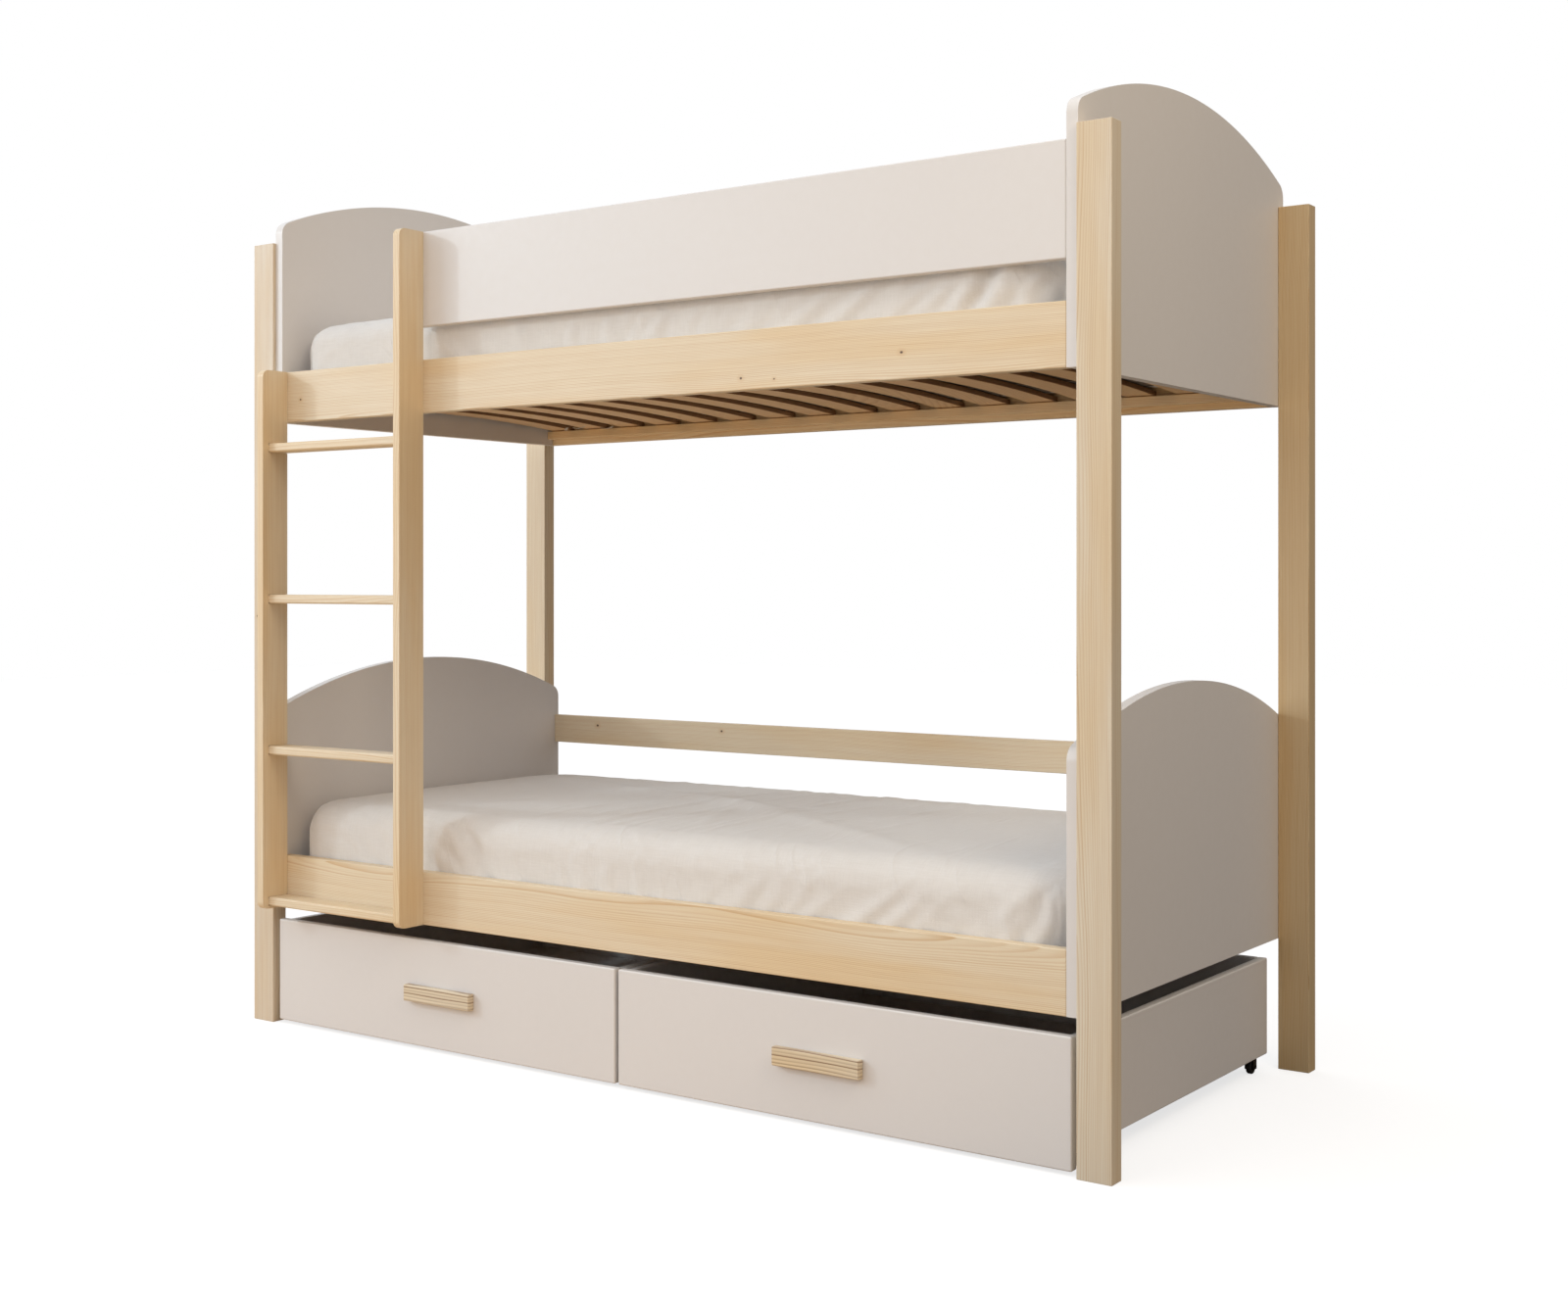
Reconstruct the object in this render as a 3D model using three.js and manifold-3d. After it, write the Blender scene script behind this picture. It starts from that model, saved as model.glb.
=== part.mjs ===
// Bunk bed with a fixed front ladder and two roll-out storage drawers.
// Millimetres, +X along the bed, +Y to the back, +Z up, origin on the floor at the middle of the footprint.

import * as THREE from 'three';
import { mergeVertices } from 'three/addons/utils/BufferGeometryUtils.js';
import Module from 'manifold-3d';

const wasm = await Module();
wasm.setup();

// ---------------------------------------------------------------- driving dimensions

const TOUCH_GAP = 0.3;             // clearance between pieces that touch
const BED_LENGTH = 1975;           // over the posts, along X
const BED_DEPTH = 869;             // over the posts, along Y
const TIER_SPACING = 1004;         // from one bunk to the next
const LOWER_TIER_Z = 246;          // underside of the lower side rails

const POST = { width: 60, depth: 34, height: 1625 };
const PANEL = { thickness: 20, height: 502, inset: 7, archRadius: 1060, shoulderRadius: 28 };
const RAIL = { height: 104, thickness: 22 };
const LEDGER = { height: 19, depth: 18, raise: 13 };
const GUARD = { bottomAboveTier: 168.5, height: 186, thickness: 18 };
const SAFETY_RAIL = { bottomAboveTier: 283.5, height: 66, thickness: 14 };
const SLATS = { count: 17, pitch: 108, width: 60, thickness: 10, endGap: 1 };
const TAPE = { width: 20, thickness: 2, inset: 160 };
const MATTRESS = { length: 1796, width: 800, height: 168, cornerRadius: 70, edgeRadius: 34 };

const LADDER = { leftFace: 79.5, clearWidth: 381, stileThickness: 17, stileDepth: 64, cornerRadius: 15 };
const RUNG = { count: 4, spacing: 311, thickness: 18, lowestZ: 252, setback: 15, housing: 8, edge: 3 };

const DRAWER = { width: 912, middleGap: 8, frontZ: 7, frontTop: 216, boxZ: 32, boxTop: 212.5, depth: 804 };
const BOARD = { front: 18, side: 17, bottom: 8 };
const HANDLE = { length: 175, height: 32, depth: 15, shiftToMiddle: 15, edge: 1.5 };
const WHEEL = { radius: 14, width: 10, bore: 2.6, shoulder: 1.5, fromFront: 60, fromBack: 40 };
const BRACKET = { plate: 3, cheek: 2.5, length: 36, cheekLength: 16, pinRadius: 2.2, sideClearance: 1.2 };

const ARCH_STEPS = 60;             // straight pieces along the arched top of an end panel
const CORNER_STEPS = 10;           // straight pieces in a quarter round of a board
const CUSHION_STEPS = 4;           // the same in the soft blocks
const ROUND_STEPS = 36;            // facets round a caster wheel
const PIN_STEPS = 12;

// ---------------------------------------------------------------- derived places

const frontPlane = PANEL.inset;                        // shared front plane of rails, guard and drawers
const backPlane = BED_DEPTH - PANEL.inset;
const panelInner = POST.width + TOUCH_GAP + PANEL.thickness;
const ladderBack = frontPlane - TOUCH_GAP;
const ladderFront = ladderBack - LADDER.stileDepth;
const slatBaseZ = LEDGER.raise + LEDGER.height + TOUCH_GAP;   // above the tier
const mattressZ = slatBaseZ + SLATS.thickness + TAPE.thickness + TOUCH_GAP;
const innerLength = BED_LENGTH - 2 * (panelInner + TOUCH_GAP);
const tiers = { lower: LOWER_TIER_Z, upper: LOWER_TIER_Z + TIER_SPACING };
const guardTopZ = tiers.upper + GUARD.bottomAboveTier + GUARD.height;

// ---------------------------------------------------------------- materials

const finish = (color, roughness, metalness = 0) =>
  () => new THREE.MeshStandardMaterial({ color, roughness, metalness });

const pine = finish('#e6cda3', 0.55);
const springWood = finish('#c9a77c', 0.6);
const paint = finish('#dcd6cf', 0.45);
const linen = finish('#e4dfd9', 0.9);
const wheelRubber = finish('#161616', 0.6);
const bracketSteel = finish('#1b1b1c', 0.45, 0.6);

// ---------------------------------------------------------------- shape helpers

const bed = new THREE.Group();
bed.position.set(-BED_LENGTH / 2, -(BED_DEPTH + ladderFront) / 2, 0);

function add(name, geometry, material, position = [0, 0, 0], parent = bed) {
  const mesh = new THREE.Mesh(geometry, material());
  mesh.name = name;
  mesh.position.set(...position);
  parent.add(mesh);
  return mesh;
}

// A box given by its two opposite corners.
function slab(low, high) {
  const size = high.map((value, axis) => value - low[axis]);
  const geometry = new THREE.BoxGeometry(...size);
  geometry.translate(...low.map((value, axis) => value + size[axis] / 2));
  return geometry;
}

// A board along X with its four long edges eased by a small chamfer.
function easedBoard(low, high, edge) {
  const [y0, z0] = [low[1], low[2]];
  const [y1, z1] = [high[1], high[2]];
  const outline = new THREE.Shape([
    new THREE.Vector2(y0 + edge, z0),
    new THREE.Vector2(y1 - edge, z0),
    new THREE.Vector2(y1, z0 + edge),
    new THREE.Vector2(y1, z1 - edge),
    new THREE.Vector2(y1 - edge, z1),
    new THREE.Vector2(y0 + edge, z1),
    new THREE.Vector2(y0, z1 - edge),
    new THREE.Vector2(y0, z0 + edge),
  ]);
  return extrudeAlongX(outline, low[0], high[0]);
}

// An outline drawn in (Y, Z), pushed along X from x0 to x1.
function extrudeAlongX(outline, x0, x1) {
  const geometry = new THREE.ExtrudeGeometry(outline, {
    depth: x1 - x0,
    bevelEnabled: false,
    curveSegments: CORNER_STEPS,
  });
  geometry.applyMatrix4(new THREE.Matrix4().set(
    0, 0, 1, x0,
    1, 0, 0, 0,
    0, 1, 0, 0,
    0, 0, 0, 1,
  ));
  return geometry;
}

function toSolid(geometry) {
  const bare = geometry.clone();
  bare.deleteAttribute('normal');
  bare.deleteAttribute('uv');
  const merged = mergeVertices(bare, 1e-4);
  return new wasm.Manifold(new wasm.Mesh({
    numProp: 3,
    vertProperties: new Float32Array(merged.attributes.position.array),
    triVerts: new Uint32Array(merged.index.array),
  }));
}

function toGeometry(solid) {
  const mesh = solid.getMesh();
  const geometry = new THREE.BufferGeometry();
  geometry.setAttribute('position', new THREE.BufferAttribute(mesh.vertProperties, 3));
  geometry.setIndex(new THREE.BufferAttribute(mesh.triVerts, 1));
  geometry.computeVertexNormals();
  return geometry;
}

const union = (parts) => toGeometry(parts.map(toSolid).reduce((whole, part) => whole.add(part)));

const cut = (body, cutters) =>
  toGeometry(cutters.map(toSolid).reduce((whole, cutter) => whole.subtract(cutter), toSolid(body)));

// ---------------------------------------------------------------- posts

function addPosts() {
  const rightX = BED_LENGTH - POST.width;
  const backY = BED_DEPTH - POST.depth;
  const places = {
    front_left: [0, 0],
    front_right: [rightX, 0],
    back_left: [0, backY],
    back_right: [rightX, backY],
  };
  for (const [place, [x, y]] of Object.entries(places)) {
    add(`post_${place}`, slab([0, 0, 0], [POST.width, POST.depth, POST.height]), pine, [x, y, 0]);
  }
}

// ---------------------------------------------------------------- arched end panels

// Side view (Y, Z): flat bottom, straight sides, rounded shoulders and a shallow arch on top.
function panelOutline() {
  const halfWidth = (backPlane - frontPlane) / 2;
  const midY = BED_DEPTH / 2;
  const archCentreZ = PANEL.height - PANEL.archRadius;
  const shoulderOffset = halfWidth - PANEL.shoulderRadius;
  const shoulderReach = PANEL.archRadius - PANEL.shoulderRadius;
  const shoulderZ = archCentreZ + Math.sqrt(shoulderReach ** 2 - shoulderOffset ** 2);
  const lean = Math.asin(shoulderOffset / shoulderReach);
  const points = [
    new THREE.Vector2(midY - halfWidth, 0),
    new THREE.Vector2(midY + halfWidth, 0),
  ];
  const arc = (centreY, centreZ, radius, from, to, steps) => {
    for (let step = 0; step <= steps; step += 1) {
      const angle = from + (to - from) * (step / steps);
      points.push(new THREE.Vector2(centreY + radius * Math.sin(angle), centreZ + radius * Math.cos(angle)));
    }
  };
  arc(midY + shoulderOffset, shoulderZ, PANEL.shoulderRadius, Math.PI / 2, lean, CORNER_STEPS);
  const archStep = (2 * lean) / ARCH_STEPS;
  arc(midY, archCentreZ, PANEL.archRadius, lean - archStep, archStep - lean, ARCH_STEPS - 2);
  arc(midY - shoulderOffset, shoulderZ, PANEL.shoulderRadius, -lean, -Math.PI / 2, CORNER_STEPS);
  return new THREE.Shape(points);
}

function addEndPanels() {
  const ends = { left: POST.width + TOUCH_GAP, right: BED_LENGTH - panelInner };
  for (const [tier, z] of Object.entries(tiers)) {
    for (const [end, x] of Object.entries(ends)) {
      add(`end_panel_${tier}_${end}`, extrudeAlongX(panelOutline(), 0, PANEL.thickness), paint, [x, 0, z]);
    }
  }
}

// ---------------------------------------------------------------- side rails, ledgers, guards

// A board along the bed between the end panels; its outer face is flush with the front or back plane.
function longBoard(side, thickness, height, inset = 0, startX = panelInner + TOUCH_GAP) {
  const endX = panelInner + TOUCH_GAP + innerLength;
  const nearY = side === 'front' ? frontPlane + inset : backPlane - inset - thickness;
  return slab([startX, nearY, 0], [endX, nearY + thickness, height]);
}

function addRailsAndLedgers() {
  const ledgerInset = RAIL.thickness + TOUCH_GAP;
  for (const [tier, z] of Object.entries(tiers)) {
    for (const side of ['front', 'back']) {
      add(`side_rail_${tier}_${side}`, longBoard(side, RAIL.thickness, RAIL.height), pine, [0, 0, z]);
      const ledger = longBoard(side, LEDGER.depth, LEDGER.height, ledgerInset);
      add(`ledger_${tier}_${side}`, ledger, pine, [0, 0, z + LEDGER.raise]);
    }
  }
}

function addGuards() {
  const guardZ = tiers.upper + GUARD.bottomAboveTier;
  const frontStart = LADDER.leftFace + LADDER.stileThickness + LADDER.clearWidth + TOUCH_GAP;
  const front = longBoard('front', GUARD.thickness, GUARD.height, 0, frontStart);
  add('guard_board_upper_front', front, paint, [0, 0, guardZ]);
  add('guard_board_upper_back', longBoard('back', GUARD.thickness, GUARD.height), paint, [0, 0, guardZ]);
  const safetyZ = tiers.lower + SAFETY_RAIL.bottomAboveTier;
  const safety = longBoard('back', SAFETY_RAIL.thickness, SAFETY_RAIL.height);
  add('safety_rail_lower_back', safety, pine, [0, 0, safetyZ]);
}

// ---------------------------------------------------------------- slat bases and mattresses

// Roll-out base: slats across the bed, held at their pitch by two tapes stapled on top.
function slatBase() {
  const margin = RAIL.thickness + SLATS.endGap;
  const [nearY, farY] = [frontPlane + margin, backPlane - margin];
  const midX = BED_LENGTH / 2;
  const parts = [];
  for (let index = 0; index < SLATS.count; index += 1) {
    const x = midX + (index - (SLATS.count - 1) / 2) * SLATS.pitch;
    parts.push(slab([x - SLATS.width / 2, nearY, 0], [x + SLATS.width / 2, farY, SLATS.thickness]));
  }
  const reach = ((SLATS.count - 1) * SLATS.pitch) / 2;
  const tapeBottom = SLATS.thickness - 0.5;            // let half a millimetre into the slats
  const tapeTop = SLATS.thickness + TAPE.thickness;
  for (const y of [nearY + TAPE.inset, farY - TAPE.inset - TAPE.width]) {
    parts.push(slab([midX - reach, y, tapeBottom], [midX + reach, y + TAPE.width, tapeTop]));
  }
  return union(parts);
}

// Rounded block: the plan has rounded corners and the top and bottom edges are rolled over.
function mattressBlock() {
  const { length, width, height, cornerRadius, edgeRadius } = MATTRESS;
  const [halfX, halfY] = [length / 2 - edgeRadius, width / 2 - edgeRadius];
  const radius = cornerRadius - edgeRadius;
  const plan = new THREE.Shape();
  plan.moveTo(-halfX + radius, -halfY);
  plan.lineTo(halfX - radius, -halfY);
  plan.absarc(halfX - radius, -halfY + radius, radius, -Math.PI / 2, 0);
  plan.lineTo(halfX, halfY - radius);
  plan.absarc(halfX - radius, halfY - radius, radius, 0, Math.PI / 2);
  plan.lineTo(-halfX + radius, halfY);
  plan.absarc(-halfX + radius, halfY - radius, radius, Math.PI / 2, Math.PI);
  plan.lineTo(-halfX, -halfY + radius);
  plan.absarc(-halfX + radius, -halfY + radius, radius, Math.PI, 1.5 * Math.PI);
  const geometry = new THREE.ExtrudeGeometry(plan, {
    depth: height - 2 * edgeRadius,
    bevelThickness: edgeRadius,
    bevelSize: edgeRadius,
    bevelSegments: 3,
    curveSegments: CUSHION_STEPS,
  });
  geometry.translate(BED_LENGTH / 2, BED_DEPTH / 2, edgeRadius);
  return geometry;
}

function addSleepingPlaces() {
  for (const [tier, z] of Object.entries(tiers)) {
    add(`slat_base_${tier}`, slatBase(), springWood, [0, 0, z + slatBaseZ]);
    add(`mattress_${tier}`, mattressBlock(), linen, [0, 0, z + mattressZ]);
  }
}

// ---------------------------------------------------------------- ladder

const rungBottom = (index) => RUNG.lowestZ + index * RUNG.spacing;

// Side view of a stile (Y, Z) with its two front corners rounded.
function stileOutline(bottom, top) {
  const radius = LADDER.cornerRadius;
  const outline = new THREE.Shape();
  outline.moveTo(ladderBack, bottom);
  outline.lineTo(ladderBack, top);
  outline.lineTo(ladderFront + radius, top);
  outline.absarc(ladderFront + radius, top - radius, radius, Math.PI / 2, Math.PI);
  outline.lineTo(ladderFront, bottom + radius);
  outline.absarc(ladderFront + radius, bottom + radius, radius, Math.PI, 1.5 * Math.PI);
  return outline;
}

// The rungs are let into the inner faces of the stiles.
function stile(faceX, top, pocketX) {
  const body = extrudeAlongX(stileOutline(tiers.lower, top), faceX, faceX + LADDER.stileThickness);
  const pastBack = ladderBack + RUNG.edge;             // the pockets run out through the back edge
  const pockets = [];
  for (let index = 0; index < RUNG.count; index += 1) {
    const z = rungBottom(index);
    pockets.push(slab(
      [pocketX, ladderFront + RUNG.setback - TOUCH_GAP, z - TOUCH_GAP],
      [pocketX + 2 * RUNG.housing, pastBack, z + RUNG.thickness + TOUCH_GAP],
    ));
  }
  return cut(body, pockets);
}

function addLadder() {
  const leftInner = LADDER.leftFace + LADDER.stileThickness;
  const rightInner = leftInner + LADDER.clearWidth;
  const railTop = tiers.upper + RAIL.height;
  add('ladder_stile_left', stile(LADDER.leftFace, railTop, leftInner - RUNG.housing), pine);
  add('ladder_stile_right', stile(rightInner, guardTopZ, rightInner - RUNG.housing), pine);
  const endX = [leftInner - RUNG.housing + TOUCH_GAP, rightInner + RUNG.housing - TOUCH_GAP];
  const nearY = ladderFront + RUNG.setback;
  for (let index = 0; index < RUNG.count; index += 1) {
    const board = easedBoard([endX[0], nearY, 0], [endX[1], ladderBack, RUNG.thickness], RUNG.edge);
    add(`ladder_rung_${index + 1}`, board, pine, [0, 0, rungBottom(index)]);
  }
}

// ---------------------------------------------------------------- drawers

// Wheel turning about X, with eased tread edges and a bore for its pin.
function wheelGeometry() {
  const half = WHEEL.width / 2;
  const { radius, shoulder, bore } = WHEEL;
  const profile = [
    new THREE.Vector2(bore, -half),
    new THREE.Vector2(radius - shoulder, -half),
    new THREE.Vector2(radius, shoulder - half),
    new THREE.Vector2(radius, half - shoulder),
    new THREE.Vector2(radius - shoulder, half),
    new THREE.Vector2(bore, half),
    new THREE.Vector2(bore, -half),
  ];
  const geometry = new THREE.LatheGeometry(profile, ROUND_STEPS);
  geometry.rotateZ(-Math.PI / 2);
  return geometry;
}

// Top plate, two cheeks and the pin that the wheel turns on; its origin is the middle of the pin.
function bracketGeometry() {
  const inside = WHEEL.width / 2 + BRACKET.sideClearance;
  const outside = inside + BRACKET.cheek;
  const plateTop = DRAWER.boxZ - TOUCH_GAP - WHEEL.radius;
  const plateBottom = plateTop - BRACKET.plate;
  const halfCheek = BRACKET.cheekLength / 2;
  const pinOverhang = 1;
  const overlap = 0.5;                                  // cheeks run this far into the plate
  const cheekBottom = -BRACKET.pinRadius - BRACKET.cheek;
  const plate = slab([-outside, -BRACKET.length / 2, plateBottom], [outside, BRACKET.length / 2, plateTop]);
  const cheeks = [-outside, inside].map((x) =>
    slab([x, -halfCheek, cheekBottom], [x + BRACKET.cheek, halfCheek, plateBottom + overlap]));
  const pinLength = 2 * (outside + pinOverhang);
  const pin = new THREE.CylinderGeometry(BRACKET.pinRadius, BRACKET.pinRadius, pinLength, PIN_STEPS);
  pin.rotateZ(Math.PI / 2);
  return union([plate, ...cheeks, pin]);
}

function addCasters(name, width, parent) {
  const inset = BOARD.side;                             // wheels run under the inner edge of the sides
  const places = {
    front_left: [inset, WHEEL.fromFront],
    front_right: [width - inset, WHEEL.fromFront],
    back_left: [inset, DRAWER.depth - WHEEL.fromBack],
    back_right: [width - inset, DRAWER.depth - WHEEL.fromBack],
  };
  for (const [place, [x, y]] of Object.entries(places)) {
    add(`${name}_caster_${place}_bracket`, bracketGeometry(), bracketSteel, [x, y, WHEEL.radius], parent);
    add(`${name}_caster_${place}_wheel`, wheelGeometry(), wheelRubber, [x, y, WHEEL.radius], parent);
  }
}

// One drawer; its own origin is the front left corner of its front board, on the floor.
function addDrawer(name, x, handleShift) {
  const drawer = new THREE.Group();
  drawer.position.set(x, frontPlane, 0);
  bed.add(drawer);
  const { width, depth, frontZ, frontTop, boxZ, boxTop } = DRAWER;
  const { front, side, bottom } = BOARD;
  const behindFront = front + TOUCH_GAP;
  const innerLeft = side + TOUCH_GAP;
  const innerRight = width - side - TOUCH_GAP;
  const put = (part, low, high) => add(`${name}_${part}`, slab(low, high), paint, [0, 0, 0], drawer);
  put('front', [0, 0, frontZ], [width, front, frontTop]);
  put('side_left', [0, behindFront, boxZ], [side, depth, boxTop]);
  put('side_right', [width - side, behindFront, boxZ], [width, depth, boxTop]);
  put('back', [innerLeft, depth - side, boxZ], [innerRight, depth, boxTop]);
  put('bottom', [innerLeft, behindFront, boxZ], [innerRight, depth - side - TOUCH_GAP, boxZ + bottom]);
  const middle = width / 2 + handleShift;
  const handleZ = (frontZ + frontTop - HANDLE.height) / 2;
  const handle = easedBoard(
    [middle - HANDLE.length / 2, -TOUCH_GAP - HANDLE.depth, handleZ],
    [middle + HANDLE.length / 2, -TOUCH_GAP, handleZ + HANDLE.height],
    HANDLE.edge,
  );
  add(`${name}_handle`, handle, pine, [0, 0, 0], drawer);
  addCasters(name, width, drawer);
}

// ---------------------------------------------------------------- assembly

addPosts();
addEndPanels();
addRailsAndLedgers();
addGuards();
addSleepingPlaces();
addLadder();
addDrawer('drawer_left', (BED_LENGTH - DRAWER.middleGap) / 2 - DRAWER.width, HANDLE.shiftToMiddle);
addDrawer('drawer_right', (BED_LENGTH + DRAWER.middleGap) / 2, -HANDLE.shiftToMiddle);

const root = new THREE.Group();
root.add(bed);

export default root;
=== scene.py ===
"""A bunk bed with a front ladder and two roll-out drawers: its looks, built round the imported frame.

Metres, +X along the bed, +Y to the back, +Z up, the floor at Z = 0.
"""

import math
import random

import bpy
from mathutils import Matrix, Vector, noise


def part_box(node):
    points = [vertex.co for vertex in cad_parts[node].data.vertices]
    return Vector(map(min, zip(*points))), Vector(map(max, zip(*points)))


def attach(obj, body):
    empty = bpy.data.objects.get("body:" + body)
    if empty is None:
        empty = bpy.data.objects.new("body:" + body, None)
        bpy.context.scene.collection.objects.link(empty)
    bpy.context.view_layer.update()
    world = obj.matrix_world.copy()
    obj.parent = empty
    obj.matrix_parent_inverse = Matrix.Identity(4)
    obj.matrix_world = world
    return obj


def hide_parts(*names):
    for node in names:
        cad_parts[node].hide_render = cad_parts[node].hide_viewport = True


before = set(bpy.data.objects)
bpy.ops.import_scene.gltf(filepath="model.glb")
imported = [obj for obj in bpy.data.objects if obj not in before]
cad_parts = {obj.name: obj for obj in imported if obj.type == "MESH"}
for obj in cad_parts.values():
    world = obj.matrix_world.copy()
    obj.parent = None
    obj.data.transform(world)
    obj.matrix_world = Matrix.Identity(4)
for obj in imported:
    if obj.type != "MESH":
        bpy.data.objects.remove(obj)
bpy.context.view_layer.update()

BODY = "bed_frame"
TIERS = ("lower", "upper")
AXES = {"X": Vector((1, 0, 0)), "Y": Vector((0, 1, 0)), "Z": Vector((0, 0, 1))}

# ------------------------------------------------------------------ sizes

POST_EDGE = 0.0012            # radius of the eased edges
BOARD_EDGE = 0.0020
PAINT_EDGE = 0.0028
RUNG_EDGE = 0.0006
STILE_EDGE = 0.0030
METAL_EDGE = 0.0004
RUBBER_EDGE = 0.0008

SLAT_COUNT = 17
SLAT_WIDTH = 0.060
SLAT_THICKNESS = 0.010
SLAT_BOW = 0.017              # how far the middle of a slat stands above its ends
SLAT_STEPS = 28               # pieces along a bowed slat
SLAT_EASE = 0.001
SLAT_LAYER = 0.0025           # thickness of two veneers of a slat

TAPE_WIDTH = 0.020
TAPE_THICKNESS = 0.0012
TAPE_INSET = 0.160            # from the slat ends to the tape
TAPE_LIFT = 0.0002            # from a slat to the tape on it
TAPE_TAIL = 0.035             # from the middle of the last slat to the end of the tape
TAPE_DIP = 0.12               # how steeply the tape sinks between two slats
TAPE_STEPS = 16               # pieces of tape from one slat to the next

WEB_ENDS = 3                  # loose ends of webbing in the back left corner
WEB_LENGTH = 0.045
WEB_WIDTH = 0.008
WEB_THICKNESS = 0.0006
WEB_STEPS = 14
WEB_FIRST = (0.07, 0.05)      # from the left end and the back end of the slats
WEB_PITCH = (0.055, 0.035)
WEB_WAVE = 0.003
WEB_SAG = 0.004

SHEET_CELL = 0.0125           # size of the sheet's quads before it is smoothed
CLOTH_SLACK = 0.026           # how much too large the sheet is, as a share of its size
CLOTH_GAP = 0.0018            # between the sheet and the mattress
CLOTH_FRAMES = 26
CLOTH_REACH = 0.016           # no point of the sheet moves further than this
RIPPLES_PER_METRE = 13.0
SEED_HEIGHT = 0.005
TURNED_HEIGHT = 0.89          # the upper mattress is a little flatter
UNDERSIDE_MARGIN = 0.002      # above the bowed underside, to tell it from the sides
HEM_DEPTH = 0.025             # how far the fitted sheet reaches under the mattress

CROWN = 0.008                 # rise of the mattress top towards its middle
PLAN_RADIUS = 0.085           # corners of the mattress, seen from above
ROLL_RADIUS = 0.050           # its top and bottom edges
CORE_INSET = 0.016            # from the sheet to the mattress inside it
CORE_CELL = 0.020


# ------------------------------------------------------------------ node helpers

class Tree:
    """A material under construction, with short ways to add and join its nodes."""

    def __init__(self, name):
        self.material = bpy.data.materials.new(name)
        self.material.use_nodes = True
        self.tree = self.material.node_tree
        self.tree.nodes.clear()
        self.output = self.node("ShaderNodeOutputMaterial")
        self.shader = self.node("ShaderNodeBsdfPrincipled")
        self.join(self.shader.outputs[0], self.output.inputs["Surface"])

    def node(self, kind, **settings):
        made = self.tree.nodes.new(kind)
        for key, value in settings.items():
            setattr(made, key, value)
        return made

    def join(self, source, target):
        self.tree.links.new(source, target)

    def feed(self, target, value):
        """Links a socket to an input, or sets the input to a plain value."""
        if isinstance(value, bpy.types.NodeSocket):
            self.join(value, target)
        else:
            target.default_value = value

    def place(self):
        return self.node("ShaderNodeTexCoord").outputs["Object"]

    def math(self, operation, *values):
        made = self.node("ShaderNodeMath", operation=operation)
        for target, value in zip(made.inputs, values):
            self.feed(target, value)
        return made.outputs[0]

    def vector(self, operation, *values):
        made = self.node("ShaderNodeVectorMath", operation=operation)
        for target, value in zip(made.inputs, values):
            self.feed(target, value)
        return made.outputs["Value" if operation in ("DOT_PRODUCT", "LENGTH") else "Vector"]

    def combine(self, *values):
        made = self.node("ShaderNodeCombineXYZ")
        for target, value in zip(made.inputs, values):
            self.feed(target, value)
        return made.outputs[0]

    def noise(self, vector, scale, detail=2.0, roughness=0.5, colour=False):
        made = self.node("ShaderNodeTexNoise")
        self.feed(made.inputs["Vector"], vector)
        made.inputs["Scale"].default_value = scale
        made.inputs["Detail"].default_value = detail
        made.inputs["Roughness"].default_value = roughness
        return made.outputs["Color" if colour else "Fac"]

    def remap(self, value, low, high, to_low=0.0, to_high=1.0, smooth=False):
        made = self.node("ShaderNodeMapRange", interpolation_type="SMOOTHSTEP" if smooth else "LINEAR")
        for target, number in zip(made.inputs, (value, low, high, to_low, to_high)):
            self.feed(target, number)
        return made.outputs[0]

    def mix(self, factor, first, second, blend="MIX"):
        made = self.node("ShaderNodeMix", data_type="RGBA", blend_type=blend)
        self.feed(made.inputs[0], factor)
        self.feed(made.inputs[6], first)
        self.feed(made.inputs[7], second)
        return made.outputs[2]

    def ramp(self, value, *stops):
        """A colour ramp to a grey level, from (position, level) pairs."""
        made = self.node("ShaderNodeValToRGB")
        self.feed(made.inputs[0], value)
        elements = made.color_ramp.elements
        while len(elements) < len(stops):
            elements.new(1.0)
        for element, (position, level) in zip(elements, stops):
            element.position = position
            element.color = (level, level, level, 1.0)
        return made.outputs[0]

    def bump(self, height, distance, strength=1.0, under=None):
        made = self.node("ShaderNodeBump")
        made.inputs["Strength"].default_value = strength
        made.inputs["Distance"].default_value = distance
        self.feed(made.inputs["Height"], height)
        if under is not None:
            self.join(under, made.inputs["Normal"])
        self.join(made.outputs[0], self.shader.inputs["Normal"])

    def surface(self, colour, roughness, **plain):
        """Sets the shader: colour and roughness may vary, and the rest are plain numbers."""
        self.feed(self.shader.inputs["Base Color"], colour)
        self.feed(self.shader.inputs["Roughness"], roughness)
        for name, value in plain.items():
            self.shader.inputs[name.replace("_", " ")].default_value = value
        return self.material


def rgb(red, green, blue):
    """A colour from 0-255 display values."""
    def linear(value):
        share = value / 255
        return share / 12.92 if share <= 0.04045 else ((share + 0.055) / 1.055) ** 2.4
    return (linear(red), linear(green), linear(blue), 1.0)


# ------------------------------------------------------------------ wood

PINE_EARLY = rgb(234, 221, 195)      # the pale part of a ring
PINE_LATE = rgb(206, 168, 117)       # its dark line
PINE_HONEY = rgb(229, 200, 150)      # broad warmer patches
KNOT_COLOUR = rgb(84, 56, 36)
RING_WIDTH = 0.0025
RING_CONTRAST = 0.80
RING_PROFILE = ((0.0, 0.25), (0.10, 0.0), (0.45, 0.10), (0.80, 0.75), (0.94, 1.0), (1.0, 0.25))
PITH_ACROSS = (0.045, 0.120)         # how far the pith lies from a board's middle, across its wide face
PITH_DEEP = (0.025, 0.080)           # and through its thickness
TRUNK_WANDER = 0.030
GRAIN_RELIEF = 0.00025
NO_PAINTED_LIGHT = (1.0, 1.0, 1.0)


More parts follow.
